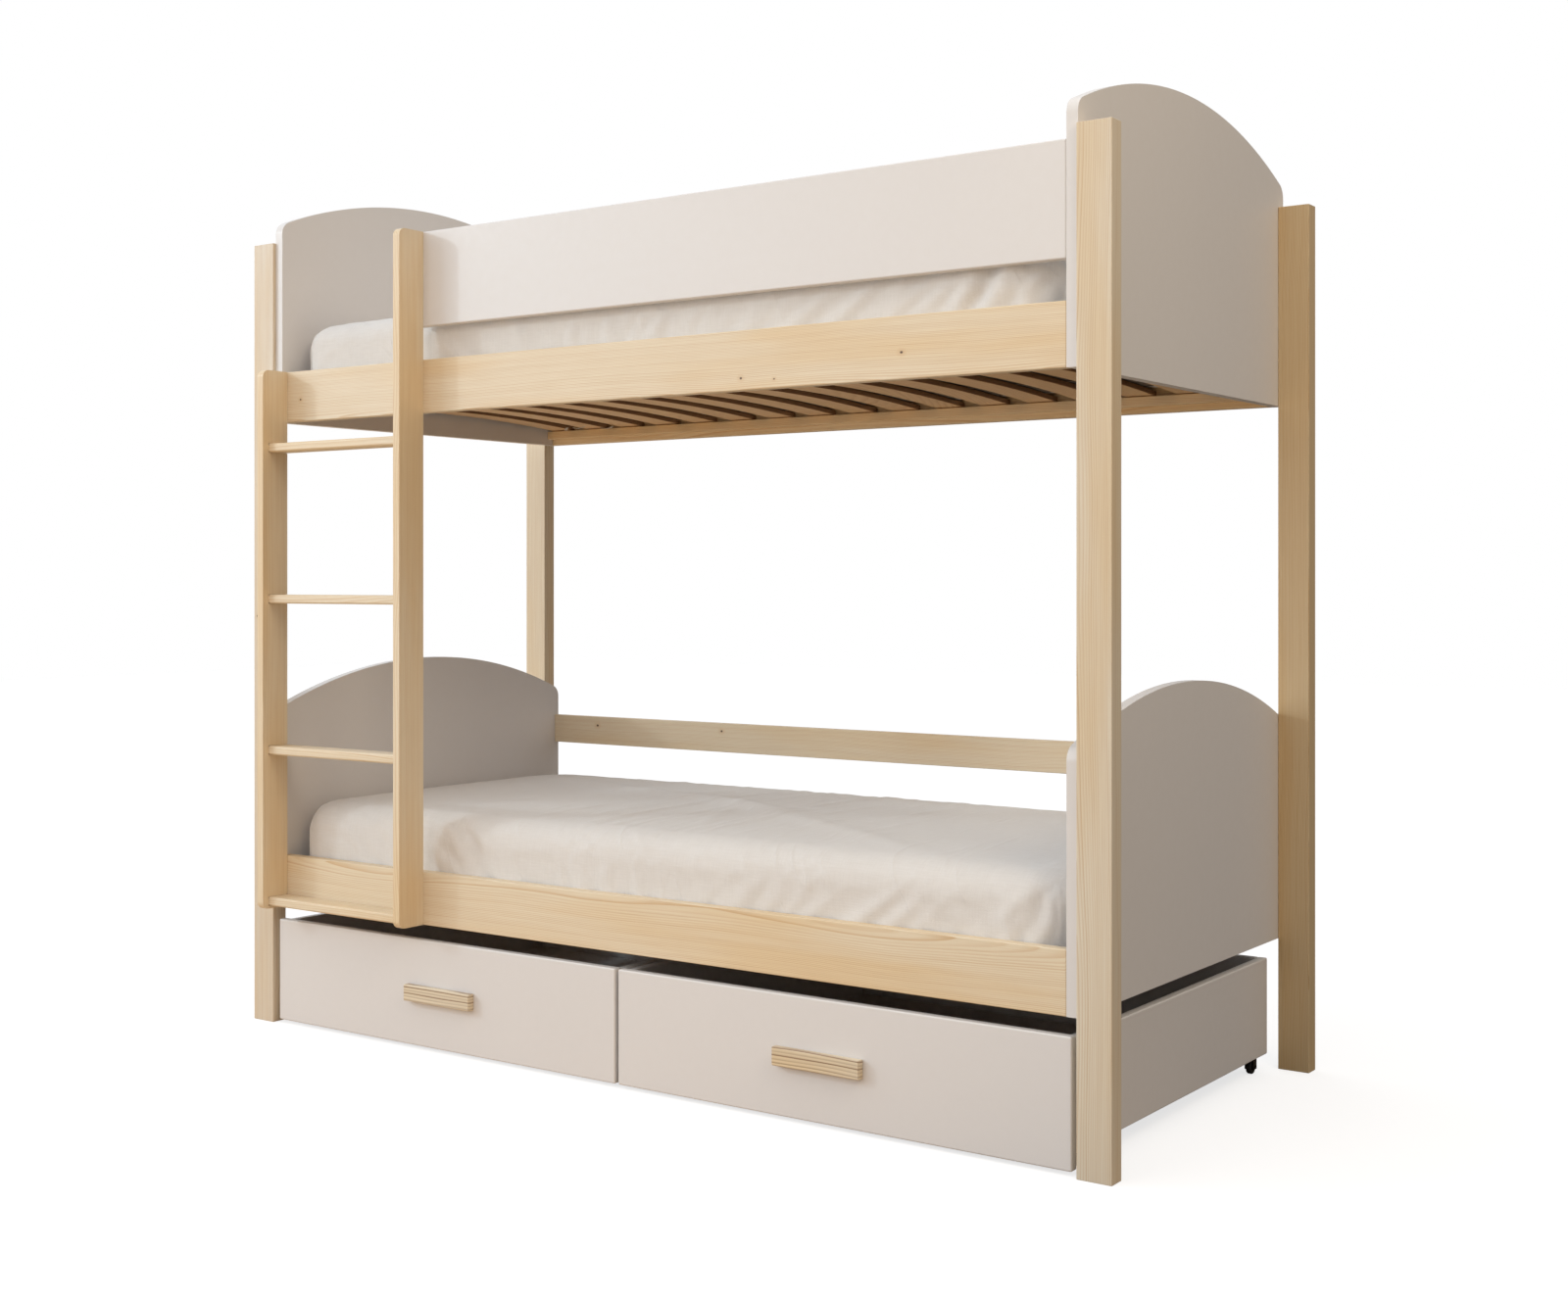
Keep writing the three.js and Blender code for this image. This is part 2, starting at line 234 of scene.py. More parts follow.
def grain_of(node):
    """(along, wide, thin) directions of a board: its longest, middle and shortest sides."""
    low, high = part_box(node)
    size = high - low
    order = sorted("XYZ", key=lambda axis: -size["XYZ".index(axis)])
    return [AXES[axis] for axis in order]


def log_point(tree, middle, grain, pith, start):
    """A point of a board as its log sees it: across and deep from the pith, and along the trunk."""
    along, wide, thin = grain
    point = tree.vector("SUBTRACT", tree.place(), middle)
    run = tree.math("ADD", tree.vector("DOT_PRODUCT", point, along), start)
    across = tree.math("SUBTRACT", tree.vector("DOT_PRODUCT", point, wide), pith[0])
    deep = tree.math("SUBTRACT", tree.vector("DOT_PRODUCT", point, thin), pith[1])
    return across, deep, run


def log_noise(tree, log, across_scale, along_scale, detail=2.0, roughness=0.5):
    """Noise drawn out along the grain."""
    across, deep, run = log
    stretched = tree.combine(tree.math("MULTIPLY", across, across_scale),
                             tree.math("MULTIPLY", deep, across_scale),
                             tree.math("MULTIPLY", run, along_scale))
    return tree.noise(stretched, 1.0, detail=detail, roughness=roughness)


def ring_lines(tree, log, ring_width, contrast):
    """The dark line of each ring, and how strong it is in that ring."""
    across, deep, run = log
    # the trunk isn't straight, so its rings wander along the board
    wander = tree.noise(tree.combine(0.0, 0.0, run), 1.7, detail=1.0, colour=True)
    shift = tree.vector("SCALE", tree.vector("SUBTRACT", wander, (0.5, 0.5, 0.5)))
    shift.node.inputs["Scale"].default_value = TRUNK_WANDER
    centre = tree.vector("ADD", tree.combine(across, deep, 0.0), shift)
    flat = tree.vector("MULTIPLY", centre, (1.0, 1.0, 0.0))
    radius = tree.math("DIVIDE", tree.vector("LENGTH", flat), ring_width)
    phase = tree.math("ADD", radius, tree.math("MULTIPLY", log_noise(tree, log, 14.0, 2.6), 2.4))
    line = tree.ramp(tree.math("FRACT", phase), *RING_PROFILE)
    strong = tree.node("ShaderNodeTexWhiteNoise", noise_dimensions="1D")
    tree.join(tree.math("FLOOR", phase), strong.inputs["W"])
    return line, tree.remap(strong.outputs["Value"], 0.0, 1.0, contrast * 0.35, contrast)


def add_knots(tree, colour, late, node, grain, knots):
    """Dark knots with a halo, given as (share along the board, share across its wide face, radius)."""
    along, wide = grain[:2]
    low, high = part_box(node)
    length = (high - low).dot(along)
    breadth = (high - low).dot(wide)
    for share_along, share_across, radius in knots:
        place = ((low + high) / 2 + along * ((share_along - 0.5) * length)
                 + wide * ((share_across - 0.5) * breadth))
        offset = tree.vector("SUBTRACT", tree.place(), place)
        distance = tree.vector("LENGTH", tree.vector("MULTIPLY", offset, wide + along * 0.8))
        halo = tree.remap(distance, radius * 0.8, radius * 4.0, 0.35, 0.0, smooth=True)
        spot = tree.remap(distance, radius * 0.55, radius * 1.1, 1.0, 0.0, smooth=True)
        colour = tree.mix(halo, colour, late)
        colour = tree.mix(spot, colour, KNOT_COLOUR)
    return colour


def wood(name, node, early=PINE_EARLY, late=PINE_LATE, ring_width=RING_WIDTH, contrast=RING_CONTRAST,
         knots=(), grain=None, pith=None, painted_light_tone=NO_PAINTED_LIGHT):
    """Wood cut from a log, whose rings are circles round the pith."""
    pick = random.Random(name)
    low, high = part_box(node)
    grain = grain or grain_of(node)
    if pith is None:
        pith = (pick.choice((-1, 1)) * pick.uniform(*PITH_ACROSS),
                pick.choice((-1, 1)) * pick.uniform(*PITH_DEEP))
    tree = Tree(name)
    log = log_point(tree, (low + high) / 2, grain, pith, pick.uniform(-40, 40))
    line, strength = ring_lines(tree, log, ring_width, contrast)
    fibre = log_noise(tree, log, 700.0, 9.0, detail=3.0, roughness=0.6)
    patch = tree.remap(log_noise(tree, log, 13.0, 1.7), 0.42, 0.72, 0.0, 0.55, smooth=True)

    colour = tree.mix(patch, early, PINE_HONEY)
    colour = tree.mix(tree.math("MULTIPLY", line, strength), colour, late)
    colour = tree.mix(tree.remap(fibre, 0.3, 0.75, 0.0, 0.22), colour, late, blend="MULTIPLY")
    colour = add_knots(tree, colour, late, node, grain, knots)
    # multiplies in the board's painted light tone: painted shade on the darker boards, painted light on the
    # lighter ones
    colour = tree.mix(1.0, colour, (*painted_light_tone, 1.0), blend="MULTIPLY")
    tree.bump(tree.math("ADD", tree.math("MULTIPLY", line, 0.35), fibre), GRAIN_RELIEF, strength=0.35)
    roughness = tree.remap(fibre, 0.2, 0.8, 0.42, 0.58)
    return tree.surface(colour, roughness, Coat_Weight=0.12, Coat_Roughness=0.3)


# ------------------------------------------------------------------ paint, cloth, plastic and steel

CREASE_HEIGHT = 0.0030
CREASE_STRENGTH = 0.35
TAPE_THREAD = 0.0020


def paint_material():
    tree = Tree("paint")
    place = tree.place()
    drift = tree.noise(place, 2.2, detail=2.0)
    mottle = tree.noise(place, 60.0, detail=2.0)
    colour = tree.mix(drift, rgb(223, 220, 218), rgb(227, 224, 222))
    colour = tree.mix(tree.remap(mottle, 0.3, 0.7, 0.0, 0.05), colour, rgb(210, 203, 195))
    orange_peel = tree.noise(place, 420.0, detail=2.0, roughness=0.4)
    tree.bump(orange_peel, 0.00012, strength=0.25)
    roughness = tree.remap(mottle, 0.3, 0.7, 0.38, 0.47)
    return tree.surface(colour, roughness)


def crease_lines(tree, place):
    """Thin slanting creases of washed cotton, in patches, as the normal under its weave."""
    across = tree.math("MULTIPLY", tree.vector("DOT_PRODUCT", place, (0.84, 0.10, 0.54)), 17.0)
    along = tree.math("MULTIPLY", tree.vector("DOT_PRODUCT", place, (0.54, 0.35, -0.84)), 3.4)
    fine = tree.noise(tree.combine(across, 0.0, along), 1.0, detail=1.0)
    from_middle = tree.math("ABSOLUTE", tree.math("MULTIPLY", tree.math("SUBTRACT", fine, 0.5), 5.0))
    ridge = tree.math("SUBTRACT", 1.0, from_middle)
    sharp = tree.math("POWER", tree.math("MAXIMUM", ridge, 0.0), 5.0)
    patches = tree.remap(tree.noise(place, 9.0, detail=1.0), 0.42, 0.62, smooth=True)
    made = tree.node("ShaderNodeBump")
    made.inputs["Strength"].default_value = CREASE_STRENGTH
    made.inputs["Distance"].default_value = CREASE_HEIGHT
    tree.join(tree.math("MULTIPLY", sharp, patches), made.inputs["Height"])
    return made.outputs[0]


def woven(name, light, dark, thread, slub, bump_height, roughness=0.9, sheen=0.25, creased=False):
    """Plain weave: two sets of threads crossing, with uneven, slightly fuzzy yarn."""
    tree = Tree(name)
    place = tree.place()
    slub_x = tree.noise(tree.vector("MULTIPLY", place, (30.0, 420.0, 420.0)), 1.0, detail=3.0)
    slub_y = tree.noise(tree.vector("MULTIPLY", place, (420.0, 30.0, 30.0)), 1.0, detail=3.0)
    threads = []
    for vector, wobble in (((1.0, 0.0, 0.0), slub_x), ((0.0, 1.0, 1.0), slub_y)):
        angle = tree.math("MULTIPLY", tree.vector("DOT_PRODUCT", place, vector), 2 * math.pi / thread)
        threads.append(tree.math("SINE", tree.math("ADD", angle, tree.math("MULTIPLY", wobble, 5.0))))
    weave = tree.math("MULTIPLY", threads[0], threads[1])
    yarn = tree.math("ADD", slub_x, slub_y)
    cloud = tree.noise(place, 7.0, detail=3.0)
    colour = tree.mix(tree.remap(yarn, 0.6, 1.4, 0.0, slub), light, dark)
    # the low places of the weave a little darker: painted shade between the threads
    colour = tree.mix(tree.remap(weave, -1.0, 1.0, 0.10, 0.0), colour, dark, blend="MULTIPLY")
    colour = tree.mix(tree.remap(cloud, 0.35, 0.7, 0.0, 0.12), colour, dark)
    fuzz = tree.noise(place, 900.0, detail=2.0)
    height = tree.math("ADD", tree.math("MULTIPLY", weave, 0.25), tree.math("ADD", yarn, fuzz))
    creases = crease_lines(tree, place) if creased else None
    tree.bump(height, bump_height, strength=0.6, under=creases)
    return tree.surface(colour, tree.remap(fuzz, 0.3, 0.7, roughness - 0.05, roughness + 0.05),
                        Sheen_Weight=sheen, Sheen_Roughness=0.5, Specular_IOR_Level=0.25)


def caster_material(name, base, worn, rough, metallic=0.0):
    tree = Tree(name)
    place = tree.place()
    grain = tree.noise(place, 900.0, detail=2.0)
    dust = tree.remap(tree.noise(place, 90.0, detail=3.0), 0.5, 0.8, 0.0, 0.35)
    colour = tree.mix(dust, base, worn)
    tree.bump(grain, 0.0001, strength=0.3)
    return tree.surface(colour, tree.remap(grain, 0.2, 0.8, rough - 0.08, rough + 0.08), Metallic=metallic)


paint = paint_material()
linen = woven("bed_linen", rgb(231, 228, 224), rgb(209, 203, 196),
              thread=0.0016, slub=0.35, bump_height=0.0005, creased=True)
ticking = woven("ticking", rgb(92, 78, 66), rgb(64, 53, 44),
                thread=0.0022, slub=0.5, bump_height=0.0005)
# the slat tapes are dark brown as painted shade, for where they lie unlit between the slats and the
# mattress; the loose webbing ends keep the pale colour of the webbing
tape_painted_shade = woven("tape_painted_shade", rgb(96, 80, 64), rgb(66, 54, 43),
                   thread=TAPE_THREAD, slub=0.4, bump_height=0.0004)
webbing = woven("webbing", rgb(214, 210, 203), rgb(168, 162, 153),
                thread=TAPE_THREAD, slub=0.4, bump_height=0.0004)
rubber = caster_material("black_rubber", rgb(22, 22, 22), rgb(52, 50, 48), rough=0.62)
coated_steel = caster_material("coated_steel", rgb(26, 26, 27), rgb(60, 60, 60), rough=0.42, metallic=0.6)


# ------------------------------------------------------------------ CAD boards: eased edges and materials

def shading_group():
    """Geometry nodes that shade a piece smooth, with hard edges kept only where it turns sharply."""
    sharp_angle = math.radians(38)
    group = bpy.data.node_groups.new("smooth_by_angle", "GeometryNodeTree")
    group.interface.new_socket("Geometry", in_out="INPUT", socket_type="NodeSocketGeometry")
    group.interface.new_socket("Geometry", in_out="OUTPUT", socket_type="NodeSocketGeometry")
    enter = group.nodes.new("NodeGroupInput")
    leave = group.nodes.new("NodeGroupOutput")
    faces = group.nodes.new("GeometryNodeSetShadeSmooth")
    edges = group.nodes.new("GeometryNodeSetShadeSmooth")
    edges.domain = "EDGE"
    edges.inputs["Shade Smooth"].default_value = False
    angle = group.nodes.new("GeometryNodeInputMeshEdgeAngle")
    sharp = group.nodes.new("FunctionNodeCompare")
    sharp.operation = "GREATER_THAN"
    sharp.inputs[1].default_value = sharp_angle
    group.links.new(enter.outputs[0], faces.inputs["Geometry"])
    group.links.new(faces.outputs[0], edges.inputs["Geometry"])
    group.links.new(angle.outputs["Unsigned Angle"], sharp.inputs[0])
    group.links.new(sharp.outputs[0], edges.inputs["Selection"])
    group.links.new(edges.outputs[0], leave.inputs[0])
    return group


SMOOTH_GROUP = shading_group()


def ease_edges(piece, radius, segments=3):
    """Rounds the sharp edges of a faceted piece and shades it smooth."""
    weld = piece.modifiers.new("weld", "WELD")
    weld.merge_threshold = 1e-5
    planar = piece.modifiers.new("planar", "DECIMATE")
    planar.decimate_type = "DISSOLVE"
    planar.angle_limit = math.radians(0.05)
    bevel = piece.modifiers.new("eased_edges", "BEVEL")
    bevel.width = radius
    bevel.segments = segments
    bevel.limit_method = "ANGLE"
    bevel.angle_limit = math.radians(40)
    bevel.miter_outer = "MITER_ARC"
    smooth = piece.modifiers.new("smooth", "NODES")
    smooth.node_group = SMOOTH_GROUP
    normals = piece.modifiers.new("normals", "WEIGHTED_NORMAL")
    normals.keep_sharp = True


def dress(node, material, radius, segments=3):
    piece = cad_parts[node]
    piece.material_slots[0].material = material
    ease_edges(piece, radius, segments)


KNOTS = {
    "side_rail_upper_front": (
        (0.031, 0.43, 0.0022),
        (0.655, 0.20, 0.0024),
        (0.694, 0.15, 0.0016),
        (0.835, 0.42, 0.0026),
    ),
    "side_rail_upper_back": ((0.347, 0.30, 0.0022),),
    "safety_rail_lower_back": ((0.076, 0.68, 0.0030), (0.281, 0.72, 0.0028)),
    "post_front_left": ((0.521, 0.17, 0.0020),),
}
PAINTED_LIGHT_TONES = {                     # painted light and shade: the back right post darker as painted shade low behind the bed; the front posts darker and less orange, partly their own tone and partly painted shade where the main light falls strongest; the upper back rail and ledger lighter as painted light from the front under the slats
    "post_back_right": (0.84, 0.76, 0.62),
    "post_front_right": (0.92, 0.96, 1.04),
    "post_front_left": (0.90, 0.93, 1.02),
    "side_rail_upper_back": (1.10, 1.05, 0.96),
    "ledger_upper_back": (1.10, 1.05, 0.96),
}
HANDLE_LATE = rgb(118, 74, 34)
HANDLE_RINGS = 0.0060         # wide dark rings, cut across so that they run straight along a handle
HANDLE_PITH = (0.11, 0.012)
PINE_EDGES = {                # how much the edges of each kind of board are eased
    "post": POST_EDGE,
    "side_rail": BOARD_EDGE,
    "ledger": BOARD_EDGE,
    "safety_rail": BOARD_EDGE,
    "ladder_stile": STILE_EDGE,
    "ladder_rung": RUNG_EDGE,
}


def dress_board(node, edge):
    material = wood(f"pine_{node}", node, knots=KNOTS.get(node, ()), painted_light_tone=PAINTED_LIGHT_TONES.get(node, NO_PAINTED_LIGHT))
    dress(node, material, edge)


def dress_handle(node):
    material = wood(f"pine_{node}", node, late=HANDLE_LATE, ring_width=HANDLE_RINGS, contrast=1.0,
                    pith=HANDLE_PITH)
    dress(node, material, METAL_EDGE, 2)


def dress_frame():
    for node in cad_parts:
        edges = [edge for kind, edge in PINE_EDGES.items() if node.startswith(kind + "_")]
        if edges:
            dress_board(node, edges[0])
        elif node.endswith("_handle"):
            dress_handle(node)
        elif node.endswith("_wheel"):
            dress(node, rubber, RUBBER_EDGE)
        elif node.endswith("_bracket"):
            dress(node, coated_steel, METAL_EDGE, 2)
        elif not node.startswith(("slat_base", "mattress")):
            dress(node, paint, PAINT_EDGE, 4)


# ------------------------------------------------------------------ mesh helpers

def new_piece(name, vertices, faces, material, smooth=True):
    mesh = bpy.data.meshes.new(name)
    mesh.from_pydata(vertices, [], faces)
    mesh.materials.append(material)
    mesh.polygons.foreach_set("use_smooth", [smooth] * len(mesh.polygons))
    mesh.update()
    piece = bpy.data.objects.new(name, mesh)
    bpy.context.scene.collection.objects.link(piece)
    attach(piece, BODY)
    return piece


class Shape:
    """Vertices and faces that several strips are added to."""

    def __init__(self):
        self.vertices = []
        self.faces = []

    def tube(self, sections):
        """Skins a list of equal closed sections and closes both ends."""
        start = len(self.vertices)
        count = len(sections[0])
        for section in sections:
            self.vertices.extend(section)
        for ring in range(len(sections) - 1):
            for corner in range(count):
                near = start + ring * count
                far = near + count
                following = (corner + 1) % count
                self.faces.append((near + corner, far + corner, far + following, near + following))
        last = start + (len(sections) - 1) * count
        self.faces.append(tuple(range(start, start + count)))
        self.faces.append(tuple(reversed(range(last, last + count))))


def bow(share):
    """Height of a bowed slat above its ends, at a share of its length."""
    return SLAT_BOW * (1 - (2 * share - 1) ** 2)


# ------------------------------------------------------------------ slatted bases

SLAT_EARLY = rgb(232, 200, 160)
SLAT_LATE = rgb(190, 146, 100)
SLAT_RINGS = 0.0022
SLAT_PITH = (0.06, 1.1)       # far from the slats, because peeled veneers are nearly flat-grained
SIDE_FACING = 0.3             # a face that looks this much along X is a side of a slat


def slat_section(x, y, z, half_width, thickness, ease):
    """Section of a slat across X, with eased corners, at one place along Y."""
    left, right, bottom, top = x - half_width, x + half_width, z, z + thickness
    return [
        (left + ease, y, bottom), (right - ease, y, bottom),
        (right, y, bottom + ease), (right, y, top - ease),
        (right - ease, y, top), (left + ease, y, top),
        (left, y, top - ease), (left, y, bottom + ease),
    ]


def laminated_side():
    """The sides of a slat: thin layers of veneer with dark glue lines between them, darker overall than the
    slat's faces, partly the laminate's own colour and partly painted shade.
    """
    tree = Tree("laminated_side")
    place = tree.place()
    ripple = tree.noise(tree.vector("MULTIPLY", place, (300.0, 12.0, 300.0)), 1.0, detail=3.0)
    layer = tree.math("MULTIPLY", tree.vector("DOT_PRODUCT", place, AXES["Z"]), 2 * math.pi / SLAT_LAYER)
    wave = tree.math("SINE", tree.math("ADD", layer, tree.math("MULTIPLY", ripple, 1.5)))
    # these colours are darker than the slat faces: partly the laminate's own colour, partly painted shade
    # for the unlit sides between the slats
    veneer, glue, stain_and_shade = rgb(184, 142, 102), rgb(150, 110, 74), rgb(96, 66, 44)
    colour = tree.mix(tree.remap(wave, -1.0, 1.0), veneer, glue)
    colour = tree.mix(tree.remap(ripple, 0.3, 0.7, 0.0, 0.4), colour, stain_and_shade)
    tree.bump(ripple, 0.0003, strength=0.4)
    return tree.surface(colour, tree.remap(ripple, 0.3, 0.7, 0.6, 0.75))


def slat_places(low, high):
    pitch = (high.x - low.x - SLAT_WIDTH) / (SLAT_COUNT - 1)
    return [low.x + SLAT_WIDTH / 2 + index * pitch for index in range(SLAT_COUNT)]


def make_slats(tier):
    node = f"slat_base_{tier}"
    low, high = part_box(node)
    shape = Shape()
    for x in slat_places(low, high):
        sections = []
        for step in range(SLAT_STEPS + 1):
            share = step / SLAT_STEPS
            y = low.y + share * (high.y - low.y)
            z = low.z + bow(share)
            sections.append(slat_section(x, y, z, SLAT_WIDTH / 2, SLAT_THICKNESS, SLAT_EASE))
        shape.tube(sections)
    grain = (AXES["Y"], AXES["X"], AXES["Z"])
    material = wood(f"slat_wood_{tier}", node, SLAT_EARLY, SLAT_LATE, ring_width=SLAT_RINGS, contrast=0.5,
                    grain=grain, pith=SLAT_PITH)
    piece = new_piece(f"slats_{tier}", shape.vertices, shape.faces, material, smooth=False)
    piece.data.materials.append(laminated)
    # faces that look along X get the darker laminated material, partly as painted shade
    for face in piece.data.polygons:
        face.material_index = 1 if abs(face.normal.x) > SIDE_FACING else 0
    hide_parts(node)


def make_tapes(tier):
    """Two woven tapes that hold the slats at their pitch, with a loose tail at each end."""
    low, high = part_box(f"slat_base_{tier}")
    places = slat_places(low, high)
    steps = TAPE_STEPS * (SLAT_COUNT - 1)
    start, end = places[0] - TAPE_TAIL, places[-1] + TAPE_TAIL
    shape = Shape()
    for y in (low.y + TAPE_INSET, high.y - TAPE_INSET - TAPE_WIDTH):
        far = y + TAPE_WIDTH
        share = (y + TAPE_WIDTH / 2 - low.y) / (high.y - low.y)
        bottom = low.z + SLAT_THICKNESS + bow(share) + TAPE_LIFT
        sections = []
        for step in range(steps + 1):
            x = start + (end - start) * step / steps
            over_gap = max(0.0, min(abs(x - place) for place in places) - SLAT_WIDTH / 2)
            z = bottom - TAPE_DIP * over_gap
            top = z + TAPE_THICKNESS
            sections.append([(x, y, z), (x, far, z), (x, far, top), (x, y, top)])
        shape.tube(sections)
    new_piece(f"slat_tapes_{tier}", shape.vertices, shape.faces, tape_painted_shade, smooth=False)


def make_tape_ends(tier):
    """Loose ends of the webbing that hang a little below the slats in the back left corner."""
    low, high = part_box(f"slat_base_{tier}")
    pick = random.Random(tier)
    shape = Shape()
    for number in range(WEB_ENDS):
        x = low.x + WEB_FIRST[0] + WEB_PITCH[0] * number
        y = high.y - WEB_FIRST[1] - WEB_PITCH[1] * (number % 2)
        lean = pick.uniform(-0.4, 0.4)
        sections = []
        for step in range(WEB_STEPS + 1):
            share = step / WEB_STEPS
            along = WEB_LENGTH * share
            wave = math.sin(share * math.pi * 2 + number) * WEB_WAVE
            z = low.z - 2 * WEB_THICKNESS - WEB_SAG * math.sin(share * math.pi)
            at_x, at_y = x + along * math.cos(lean), y - along * math.sin(lean) - along * 0.5 + wave
            far, middle, top = at_y + WEB_WIDTH, z + WEB_THICKNESS, z + 2 * WEB_THICKNESS
            sections.append([(at_x, at_y, z), (at_x, far, middle), (at_x, far, top), (at_x, at_y, middle)])
        shape.tube(sections)
    new_piece(f"tape_ends_{tier}", shape.vertices, shape.faces, webbing, smooth=False)


# ------------------------------------------------------------------ mattresses and fitted sheets

# ridges (raised) and creases (pressed in): start, end, half width and height, in metres
SHEET_FOLDS = {
    "lower": (
        ((0.812, -0.365, 0.330), (0.850, -0.370, 0.425), 0.011, -0.010),
        ((0.838, -0.365, 0.330), (0.886, -0.370, 0.425), 0.015, 0.006),
        ((0.782, -0.365, 0.330), (0.798, -0.370, 0.400), 0.015, 0.005),
        ((0.790, -0.365, 0.350), (0.690, -0.375, 0.440), 0.013, 0.004),
        ((0.740, -0.365, 0.340), (0.620, -0.375, 0.440), 0.013, 0.004),
        ((0.142, -0.372, 0.454), (0.205, -0.368, 0.370), 0.008, 0.003),
        ((-0.330, -0.365, 0.345), (-0.415, -0.372, 0.440), 0.013, -0.010),
        ((-0.372, -0.365, 0.345), (-0.455, -0.372, 0.440), 0.014, 0.006),
        ((-0.295, -0.365, 0.345), (-0.372, -0.372, 0.440), 0.012, 0.004),
        ((0.030, -0.155, 0.462), (-0.072, 0.098, 0.462), 0.009, 0.005),
        ((-0.616, 0.231, 0.462), (-0.044, 0.053, 0.462), 0.034, 0.005),
        ((-0.044, 0.053, 0.462), (0.459, -0.224, 0.462), 0.034, 0.005),
    ),
    "upper": (
        ((0.722, -0.368, 1.345), (0.762, -0.372, 1.415), 0.010, -0.011),
        ((0.690, -0.368, 1.345), (0.735, -0.372, 1.420), 0.016, 0.007),
        ((0.752, -0.368, 1.345), (0.800, -0.372, 1.425), 0.017, 0.008),
        ((0.640, -0.368, 1.345), (0.690, -0.372, 1.420), 0.014, 0.004),
        ((0.560, -0.368, 1.345), (0.600, -0.372, 1.420), 0.014, 0.003),
    ),
}


class Cushion:
    """Rounded block that a mattress fills, given by its middle and half sizes."""

    def __init__(self, tier, inset=0.0):
        low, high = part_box(f"mattress_{tier}")
        low = low + Vector((inset, inset, 0.0))
        high = high - Vector((inset, inset, inset))
        self.middle = (low + high) / 2
        self.half = (high - low) / 2
        self.plan_radius = PLAN_RADIUS - inset
        self.roll_radius = ROLL_RADIUS - inset

    def rounded(self, point):
        """Moves a point of the sharp-edged block, given from its middle, onto the rounded one."""
        inner = [max(-(half - self.plan_radius), min(half - self.plan_radius, value))
                 for value, half in zip(point[:2], self.half)]
        out = Vector((point[0] - inner[0], point[1] - inner[1]))
        reach = max(abs(out.x), abs(out.y))
        if out.length > 1e-9:
            out = out * (reach / out.length)
        side = math.copysign(1, point[2])
        height = abs(point[2])
        beyond = reach - (self.plan_radius - self.roll_radius)
        above = height - (self.half.z - self.roll_radius)
        if beyond > 0 and above > 0:
            scale = max(beyond, above) / math.hypot(beyond, above)
            if reach > 1e-9:
                out = out * ((self.plan_radius - self.roll_radius + beyond * scale) / reach)
            height = self.half.z - self.roll_radius + above * scale
        return Vector((inner[0] + out.x, inner[1] + out.y, side * height))

    def shaped(self, point):
        """The rounded point in the row frame, with the crown on top and the slats' bow underneath."""
        result = self.rounded(point)
        share_x = result.x / self.half.x
        share_y = result.y / self.half.y
        if result.z > 0:
            crown = CROWN * (1 - share_x ** 4) * (1 - share_y ** 2)
            result.z += crown * result.z / self.half.z
        else:
            lift = SLAT_BOW * (1 - share_y ** 2)
            result.z += lift * -result.z / self.half.z
        return result + self.middle


def block_surface(cushion, cell):
    """Quads all over a cushion."""
    half = cushion.half
    counts = [max(2, round(2 * size / cell)) for size in half]
    steps = [[-size + 2 * size * index / count for index in range(count + 1)]
             for size, count in zip(half, counts)]
    index_of, vertices, faces = {}, [], []

    def vertex(x, y, z):
        key = (round(x, 6), round(y, 6), round(z, 6))
        if key not in index_of:
            index_of[key] = len(vertices)
            vertices.append(cushion.shaped(Vector((x, y, z))))
        return index_of[key]

    def patch(first, second, corner):
        for a, b in zip(first, first[1:]):
            for c, d in zip(second, second[1:]):
                quad = [corner(a, c), corner(b, c), corner(b, d), corner(a, d)]
                faces.append(tuple(vertex(*place) for place in quad))

    xs, ys, zs = steps
    patch(xs, ys, lambda x, y: (x, y, half.z))
    patch(xs, zs, lambda x, z: (x, -half.y, z))
    patch(zs, xs, lambda z, x: (x, half.y, z))
    patch(zs, ys, lambda z, y: (-half.x, y, z))
    patch(ys, zs, lambda y, z: (half.x, y, z))
    patch(ys, xs, lambda y, x: (x, y, -half.z))
    return vertices, faces


def fitted_surface(cushion):
    """The cushion's surface without its underside, but for a hem all round."""
    vertices, faces = block_surface(cushion, SHEET_CELL)
    half = cushion.half
    keep = []
    for face in faces:
        centre = sum((vertices[index] for index in face), Vector()) / len(face) - cushion.middle
        under = centre.z < -half.z + SLAT_BOW + UNDERSIDE_MARGIN
        inside = abs(centre.x) < half.x - HEM_DEPTH and abs(centre.y) < half.y - HEM_DEPTH
        if not (under and inside):
            keep.append(face)
    used = sorted({index for face in keep for index in face})
    renumber = {old: new for new, old in enumerate(used)}
    return [vertices[index] for index in used], [tuple(renumber[index] for index in face) for face in keep]


def make_mattress(tier):
    node = f"mattress_{tier}"
    vertices, faces = block_surface(Cushion(tier, CORE_INSET), CORE_CELL)
    piece = new_piece(f"mattress_core_{tier}", vertices, faces, ticking)
    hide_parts(node)
    return piece


def make_cloth_support(tier):
    """What the sheet lies on while it settles: as big as the mattress, and removed afterwards."""
    vertices, faces = block_surface(Cushion(tier, CLOTH_GAP), CORE_CELL)
    mesh = bpy.data.meshes.new("cloth_support")
    mesh.from_pydata(vertices, [], faces)
    support = bpy.data.objects.new("cloth_support", mesh)
    bpy.context.scene.collection.objects.link(support)
    return support


